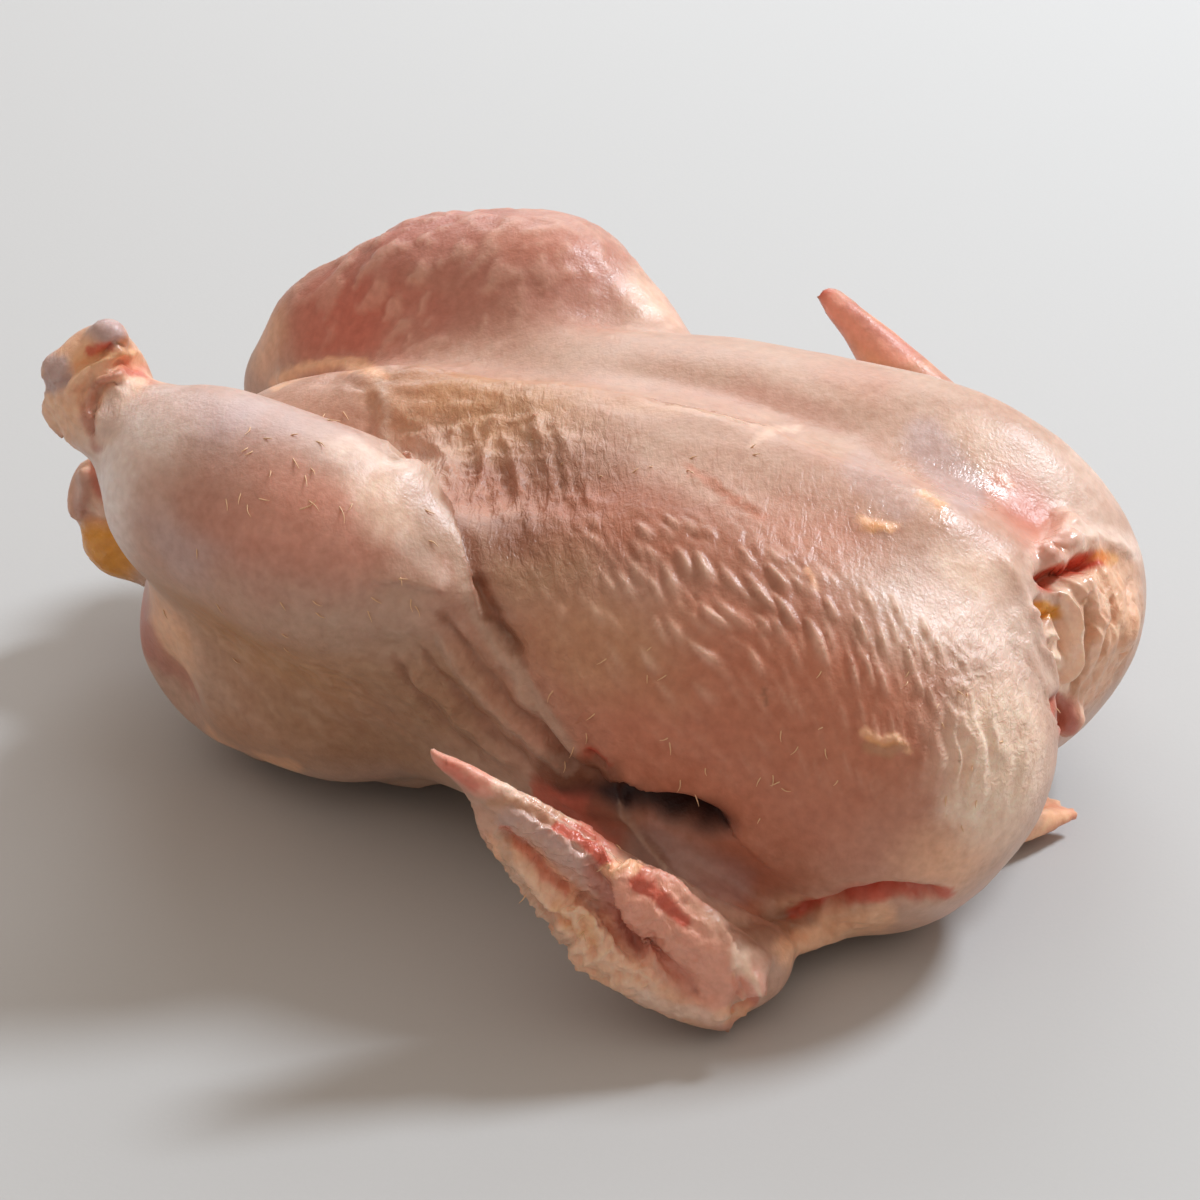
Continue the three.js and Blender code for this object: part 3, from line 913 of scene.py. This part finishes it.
# Strokes of colour as the camera sees them, by part: tone, strength, width and picture places
STROKES = {
    # Near wing
    "wing": (
        ("tan", 0.7, 24, (516, 856), (540, 884), (566, 910), (592, 940), (620, 966)),
        ("white", 0.45, 20, (528, 880), (560, 915), (600, 950), (640, 985)),
        ("flesh", 0.8, 30, (640, 900), (672, 936), (704, 968), (736, 996)),
        ("rose", 0.35, 9, (636, 930), (664, 966), (690, 990)),
        ("lilac", 0.5, 13, (514, 820), (546, 842), (576, 870), (600, 900)),
        ("rose", 0.6, 9, (592, 866), (606, 888), (620, 912), (640, 950)),
        ("flesh", 0.9, 12, (438, 758), (462, 772), (486, 786)),
        ("red", 0.5, 5, (444, 764), (458, 776), (474, 786)),
        ("white", 0.7, 8, (500, 784), (540, 800), (580, 824), (612, 850)),
        ("yellow", 0.6, 4, (490, 805), (509, 801), (539, 810), (560, 820)),
        ("red", 0.8, 5, (560, 826), (581, 839), (606, 864)),
        ("red", 0.5, 4, (505, 830), (522, 848), (545, 872), (566, 892)),
        ("fat", 0.25, 4, (556, 900), (570, 922), (580, 936)),
        ("fat", 0.3, 4, (584, 920), (594, 944)),
        ("cream", 0.6, 6, (500, 836), (512, 868), (536, 902), (566, 944)),
        ("rose", 0.4, 6, (640, 872), (684, 892), (712, 908)),
        ("red", 0.8, 5, (635, 883), (650, 893), (668, 908), (686, 922)),
        ("tan", 0.8, 6, (606, 872), (622, 868), (634, 872)),
        # Painted highlight on the wrist of the wing
        ("white", 0.8, 8, (738, 950), (744, 974), (750, 990)),
        ("red", 0.5, 5, (744, 984), (752, 996), (748, 1006)),
        ("tan", 0.7, 6, (716, 1016), (746, 1010)),
        ("pearl_sheen", 0.6, 6, (640, 994), (680, 1012), (720, 1018)),
    ),
    # Forearm, armpit and the web of skin in front of them
    "arm": (
        ("lilac", 0.5, 22, (650, 850), (690, 868), (730, 884)),
        ("red", 0.7, 18, (548, 792), (580, 814), (606, 838)),
        # Painted shade in the armpit, behind the forearm and under the web of skin
        ("umber_shade", 0.6, 14, (600, 808), (626, 836), (650, 864)),
        ("dark", 1, 14, (612, 792), (644, 800), (676, 810)),
        ("dark", 1, 7, (676, 808), (700, 816), (722, 826)),
        ("dark", 0.8, 12, (566, 780), (590, 786), (618, 796)),
        ("cream", 0.5, 3, (618, 809), (639, 834), (660, 864), (686, 889)),
        ("umber_shade", 0.6, 13, (736, 938), (776, 926), (806, 916)),
        ("tan", 0.7, 14, (790, 950), (830, 936), (880, 918)),
        ("red", 0.75, 5, (792, 914), (806, 908), (836, 903), (877, 897), (921, 894), (946, 893)),
        ("red", 0.9, 3, (589, 748), (600, 755), (611, 761)),
    ),
    # Neck opening
    "neck": (
        ("pearl_sheen", 0.9, 9, (1034, 556), (1052, 542), (1075, 530), (1112, 536), (1135, 552)),
        ("red", 0.95, 7, (1046, 586), (1056, 576), (1072, 566), (1090, 560), (1100, 560)),
        ("blush_and_shade", 0.6, 4, (1048, 588), (1062, 576), (1080, 568)),
        ("fat", 0.5, 5, (1100, 556), (1112, 562)),
        ("fat", 0.95, 6, (1040, 608), (1050, 613), (1058, 614)),
        ("white", 0.9, 6, (1048, 634), (1054, 640), (1050, 656), (1058, 664)),
        ("white", 0.7, 5, (1062, 595), (1077, 630), (1075, 660), (1062, 690)),
        ("yellow", 0.6, 4, (1086, 600), (1090, 630), (1086, 662), (1074, 694)),
        ("yellow", 0.5, 4, (1108, 590), (1112, 620), (1106, 652)),
        ("rose", 0.9, 7, (1056, 698), (1066, 712), (1070, 728)),
        ("red", 0.7, 3, (1054, 700), (1056, 730)),
    ),
    # Hock
    "hock": (
        ("fat", 0.3, 10, (80, 362), (100, 352), (124, 346), (146, 342)),
        ("rose", 0.6, 5, (150, 372), (115, 372), (95, 387), (85, 412), (100, 447)),
        ("red", 0.6, 7, (128, 368), (140, 371), (152, 375)),
        ("pearl_sheen", 0.95, 10, (106, 436), (108, 415), (116, 400), (124, 392)),
        ("lilac", 0.35, 8, (108, 430), (110, 412)),
        ("lilac", 0.95, 14, (108, 324), (111, 332)),
        ("lilac", 0.95, 12, (56, 366), (54, 382)),
        ("red", 0.8, 4, (92, 350), (102, 347), (112, 345)),
    ),
    # Tail
    "tail": (
        ("pearl_sheen", 0.8, 7, (100, 470), (94, 500), (100, 512)),
        ("lilac", 0.5, 8, (84, 480), (80, 510)),
        ("red", 0.5, 4, (94, 462), (96, 482), (102, 500)),
        ("fat", 0.95, 24, (90, 550), (116, 548)),
    ),
    # Leg, breast and belly
    "trunk": (
        # Painted light and shade on the knee folds: pale cream along the ridges, brown in the crease and
        # the valleys
        (
            "cream", 0.8, 9, (424, 474), (452, 521), (464, 578), (482, 616),
            (507, 662), (534, 708), (566, 750),
        ),
        ("umber_shade", 0.8, 9, (446, 500), (470, 540), (478, 580), (490, 612)),
        ("umber_shade", 0.85, 16, (552, 768), (584, 772), (612, 776)),
        ("ochre_shade", 0.75, 5, (476, 580), (490, 606), (508, 642), (520, 664)),
        ("ochre_shade", 0.6, 4, (440, 612), (460, 640), (482, 672), (512, 708), (548, 746), (586, 784)),
        ("cream", 0.45, 4, (436, 640), (462, 674), (492, 708), (532, 746), (569, 774)),
        ("ochre_shade", 0.6, 4, (424, 656), (456, 694), (496, 734), (536, 768)),
        ("ochre_shade", 0.45, 4, (392, 660), (424, 700), (456, 734), (484, 760)),
        ("blush_and_shade", 0.6, 4, (688, 466), (712, 482), (728, 498), (748, 508), (765, 519)),
        ("rose", 0.6, 7, (136, 590), (144, 640), (160, 676), (186, 706)),
        ("tan", 0.8, 10, (206, 742), (236, 762), (290, 772)),
        # Painted sheen beside the knee
        ("pearl_sheen", 0.5, 8, (400, 540), (440, 580)),
        ("tan", 0.8, 6, (276, 384), (300, 372), (332, 364), (362, 365), (380, 376)),
        ("cream", 0.8, 4, (380, 380), (386, 410), (384, 436), (394, 462)),
        ("white", 0.5, 4, (754, 446), (776, 430), (797, 424)),
        # Painted glints: lilac-white patches of sheen on the top of the breast
        ("lilac", 0.7, 20, (926, 440), (950, 470), (966, 492)),
        ("lilac", 0.4, 18, (862, 470), (900, 500)),
        ("ochre_shade", 0.7, 1.5, (763, 687), (766, 705)),
        ("tan", 0.9, 4, (862, 522), (874, 527), (890, 529)),
        ("tan", 0.8, 3, (918, 492), (930, 500), (944, 508)),
        ("tan", 0.75, 5, (864, 732), (880, 742), (896, 738), (908, 750)),
        ("fat", 0.45, 2.5, (864, 526), (876, 531), (888, 532)),
        ("fat", 0.35, 2.5, (868, 738), (884, 746), (904, 744)),
        ("yellow", 0.8, 5, (870, 748), (888, 754), (904, 746)),
        ("tan", 0.6, 3, (806, 570), (812, 580), (814, 590)),
        ("tan", 0.6, 3, (1002, 478), (1012, 486)),
        ("red", 0.3, 22, (1010, 490), (1035, 520), (1050, 540)),
    ),
    # Far wing
    "far": (
        ("red", 0.7, 9, (822, 290), (830, 304)),
        ("flesh", 0.9, 13, (836, 308), (866, 332), (900, 350)),
        ("rose", 0.6, 6, (850, 306), (880, 330), (920, 356)),
    ),
}


def blended(colour, tone_name, weight):
    weight = weight[:, None]
    return colour * (1 - weight) + np.array(getattr(settings(), tone_name)) * weight


def tints(points, bumps, parts):
    """The colour of the skin at each point, with painted shade and highlights in it."""
    s = settings()
    share = eased(0.55 + 0.5 * rough(points, 26, 50))[:, None]
    colour = np.array(s.cream) * share + np.array(s.pink) * (1 - share)
    loose = shaken(points, 5, 14, (40, 44, 48))
    for tone_name, strength, at, radii in PATCHES:
        colour = blended(colour, tone_name, strength * around(loose, at, radii, edge=0.8))
    # Fine mottling, more in blue than in red, and pale feather bumps whose white crests are partly
    # painted highlight
    colour *= 1 + 0.1 * rough(points, 4, 30)[:, None] * np.array((0.5, 1, 1.2))
    colour = blended(colour, "white", 0.55 * bumps)
    flat = seen(shaken(points, 0.8, 4, (33, 34, 35)))
    for part, strokes in STROKES.items():
        for tone_name, strength, width, *line in strokes:
            far = along(flat, line)[0]
            colour = blended(colour, tone_name, strength * parts[part] * eased(1.6 - far / width))
    return colour


# Where the skin is wet: how much, place and half sizes
WET = (
    (1, (84, 14, 88), (20, 14, 9)),
    (1, (80, -14, 92), (16, 12, 8)),
    (1, (-101, -52, 92), (8, 10, 10)),
    (1, (112, 4, 70), (12, 16, 20)),
    (1, (-126, -6, 34), (20, 16, 14)),
    (1, (40, -103, 44), (36, 9, 14)),
    (1, (28, 0, 99), (20, 5, 6)),
)

# Where the skin is slack and finely wrinkled: how much, place and half sizes
SLACK = (
    (0.9, (-14, -28, 90), (50, 36, 24)),
    (0.7, (10, -50, 84), (36, 22, 20)),
    (0.8, (108, -42, 56), (22, 34, 40)),
    (0.8, (42, -106, 28), (50, 14, 44)),
    (0.6, (10, -68, 58), (40, 16, 30)),
    (0.6, (-108, -48, 94), (22, 24, 20)),
    (0.3, (50, -30, 94), (60, 24, 16)),
    (0.5, (120, 16, 52), (18, 30, 32)),
)


def strongest(points, zones, edge):
    return np.max([much * around(points, at, radii, edge) for much, at, radii in zones], axis=0)


def thin_out(piece, ratio):
    """Takes faces away on the sides that show least: the back, the far side and the table side."""
    points = read(piece.data.vertices, "co") / MM
    normals = read(piece.data.vertex_normals, "vector")
    plain = eased(0.1 - normals @ TOWARD_CAMERA) * ((points[:, 0] < 100) | (points[:, 1] > 45))
    group = piece.vertex_groups.new(name="plain")
    for level, picked in ((1, plain >= 1), (0.5, (plain > 0.3) & (plain < 1))):
        group.add(np.nonzero(picked)[0].tolist(), level, "REPLACE")
    apply_modifier(piece, "DECIMATE", ratio=ratio, vertex_group="plain", vertex_group_factor=1000)
    piece.vertex_groups.clear()


class CHICKEN_OT_skin(bpy.types.Operator):
    """Makes the skin of the whole bird from a copy of its plain solid"""

    bl_idname = "chicken.skin"
    bl_label = "Skin"

    def execute(self, context):
        base = bird_copy()
        apply_modifier(base, "REMESH", mode="VOXEL", voxel_size=PLAIN_CELL)
        apply_modifier(base, "SMOOTH", factor=0.5, iterations=10)
        added = [strands([stations]) for stations in STRANDS]
        added += [ball(at, radii) for at, radii in LUMPS]
        skin = joined("skin", [base, *added])
        apply_modifier(skin, "REMESH", mode="VOXEL", voxel_size=settings().skin_cell)
        keep_largest(skin)
        apply_modifier(skin, "SMOOTH", factor=0.5, iterations=5)
        thin_out(skin, KEPT_FACES)
        for zones in (FINE_ZONES, FINEST_ZONES):
            refine(skin, zones)
        apply_modifier(skin, "SMOOTH", factor=0.5, iterations=2)
        points = read(skin.data.vertices, "co") / MM
        normals = read(skin.data.vertex_normals, "vector")
        bumps = feather_bumps(points)
        parts = parted(points, normals)
        moved = (points + normals * relief(points, bumps, parts)[:, None]) * MM
        moved[:, 2] = np.maximum(moved[:, 2], 0)
        write(skin.data, moved)
        paint(skin.data, "tint", tints(points, bumps, parts))
        paint(skin.data, "wet", strongest(points, WET, 0.4))
        paint(skin.data, "slack", strongest(points, SLACK, 0.6) + EVEN_SLACK)
        finish(skin, skin_material("moist_skin"), stands_for=("chicken",))
        return {"FINISHED"}


# Where fine hairs and feather stubs lie: how many, middle and half sizes in the picture, length, lean
HAIRS = (
    (20, (290, 460), (70, 50), (2.2, 5.0), 70),
    (9, (240, 590), (80, 70), (2.0, 3.5), 50),
    (9, (390, 560), (40, 60), (2.0, 3.5), 60),
    (14, (640, 720), (90, 80), (1.5, 3.5), 110),
    (16, (850, 740), (110, 80), (1.2, 3.0), 100),
    (8, (1000, 760), (60, 90), (1.2, 2.4), 95),
    (10, (640, 450), (120, 30), (1.2, 2.2), 20),
    (8, (590, 900), (70, 60), (1.5, 3.0), 130),
)

# Along a hair: share of its length, height over the skin, bend to the side and radius
HAIR_STATIONS = (
    (0, -0.25, 0, 0.17),
    (0.35, 0.2, 0.2, 0.16),
    (0.7, 0.4, 0.8, 0.12),
    (0.95, 0.5, 1.9, 0.05),
)


def place_on(skin, u, v):
    """Where the line of sight through a place in the picture meets the skin, and which way it faces."""
    reach = SENSOR / LENS / PICTURE
    across, down = (u - PICTURE / 2) * reach, (v - PICTURE / 2) * reach
    way = Vector(-BACK + across * RIGHT - down * UP).normalized()
    eye = Vector(AIM + CAMERA_FAR * BACK) * MM
    found, at, facing, _ = skin.ray_cast(eye, way)
    return (np.array(at) / MM, np.array(facing)) if found else None


class CHICKEN_OT_hairs(bpy.types.Operator):
    """Lays fine hairs and feather stubs on the skin"""

    bl_idname = "chicken.hairs"
    bl_label = "Hairs"

    def execute(self, context):
        skin = bpy.data.objects["skin"]
        chance = np.random.default_rng(HAIR_SEED)
        lines = []
        for count, middle, half, lengths, lean in HAIRS:
            for _ in range(count):
                u, v = np.array(middle) + np.array(half) * chance.uniform(-1, 1, 2)
                length = chance.uniform(*lengths)
                turn = math.radians(lean + chance.normal(0, 35))
                place = place_on(skin, u, v)
                if place is None:
                    continue
                root, facing = place
                way = math.cos(turn) * RIGHT - math.sin(turn) * UP
                way -= facing * (way @ facing)
                way /= np.linalg.norm(way)
                across = np.cross(facing, way) * chance.uniform(-0.5, 0.5)
                lines.append([
                    (*(root + length * s * way + rise * facing + length * 0.5 * bend * across), radius)
                    for s, rise, bend, radius in HAIR_STATIONS
                ])
        hairs = strands(lines, roundness=1, steps=3)
        hairs.name = hairs.data.name = "hairs"
        finish(hairs, hair_material("pale_hair"))
        return {"FINISHED"}


# The side of the table in metres
TABLE_SIZE = 8

# Lights: the way to each one, how far off and how wide it is in metres, and its colour
KEY_LIGHT = ((0.5, 0.86, 0.98), 2.2, 0.5, (0.84, 0.92, 1))
BACK_LIGHT = ((-0.4, 0.92, 0.56), 1.85, 1.2, (0.9, 0.95, 1))


def aimed(name, data, toward, distance):
    """A lamp or a camera, this way and this far from the middle of the bird, that faces it."""
    obj = bpy.data.objects.new(name, data)
    toward = Vector(toward).normalized()
    obj.location = Vector(AIM) * MM + distance * toward
    obj.rotation_euler = (-toward).to_track_quat("-Z", "Y").to_euler()
    bpy.context.collection.objects.link(obj)
    return obj


def soft_light(name, power, toward, distance, size, colour):
    light = bpy.data.lights.new(name, "AREA")
    light.shape = "DISK"
    light.size = size
    light.energy = power
    light.color = colour
    aimed(name, light, toward, distance)


class CHICKEN_OT_stage(bpy.types.Operator):
    """Makes the table, the lights and the camera"""

    bl_idname = "chicken.stage"
    bl_label = "Table, lights and camera"

    def execute(self, context):
        s = settings()
        bpy.ops.mesh.primitive_grid_add(x_subdivisions=8, y_subdivisions=8, size=TABLE_SIZE)
        table = bpy.context.active_object
        table.name = "table"
        table.data.materials.append(table_material("pale_table", s.table))

        lens = bpy.data.cameras.new("camera")
        lens.sensor_width = SENSOR
        lens.lens = LENS
        lens.clip_start = 0.01
        context.scene.camera = aimed("camera", lens, BACK, CAMERA_FAR * MM)
        soft_light("key", s.key_power, *KEY_LIGHT)
        soft_light("back", s.back_power, *BACK_LIGHT)
        context.scene.world = room_light("studio", s.fill)
        context.scene.view_settings.view_transform = "Standard"
        return {"FINISHED"}


STEPS = (CHICKEN_OT_skin, CHICKEN_OT_hairs, CHICKEN_OT_stage)


class CHICKEN_PT_panel(bpy.types.Panel):
    """Lists the steps that dress the bird"""

    bl_idname = "CHICKEN_PT_panel"
    bl_label = "Whole raw chicken"
    bl_space_type = "VIEW_3D"
    bl_region_type = "UI"
    bl_category = "Chicken"

    def draw(self, context):
        for name in ChickenSettings.__annotations__:
            self.layout.prop(context.scene.chicken, name)
        for step in STEPS:
            self.layout.operator(step.bl_idname)


CLASSES = (ChickenSettings, *STEPS, CHICKEN_PT_panel)


def register():
    for part in CLASSES:
        bpy.utils.register_class(part)
    bpy.types.Scene.chicken = bpy.props.PointerProperty(type=ChickenSettings)


def unregister():
    del bpy.types.Scene.chicken
    for part in reversed(CLASSES):
        bpy.utils.unregister_class(part)


def main():
    register()
    bpy.ops.chicken.skin()
    bpy.ops.chicken.hairs()
    bpy.ops.chicken.stage()
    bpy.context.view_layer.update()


if __name__ == "__main__":
    main()
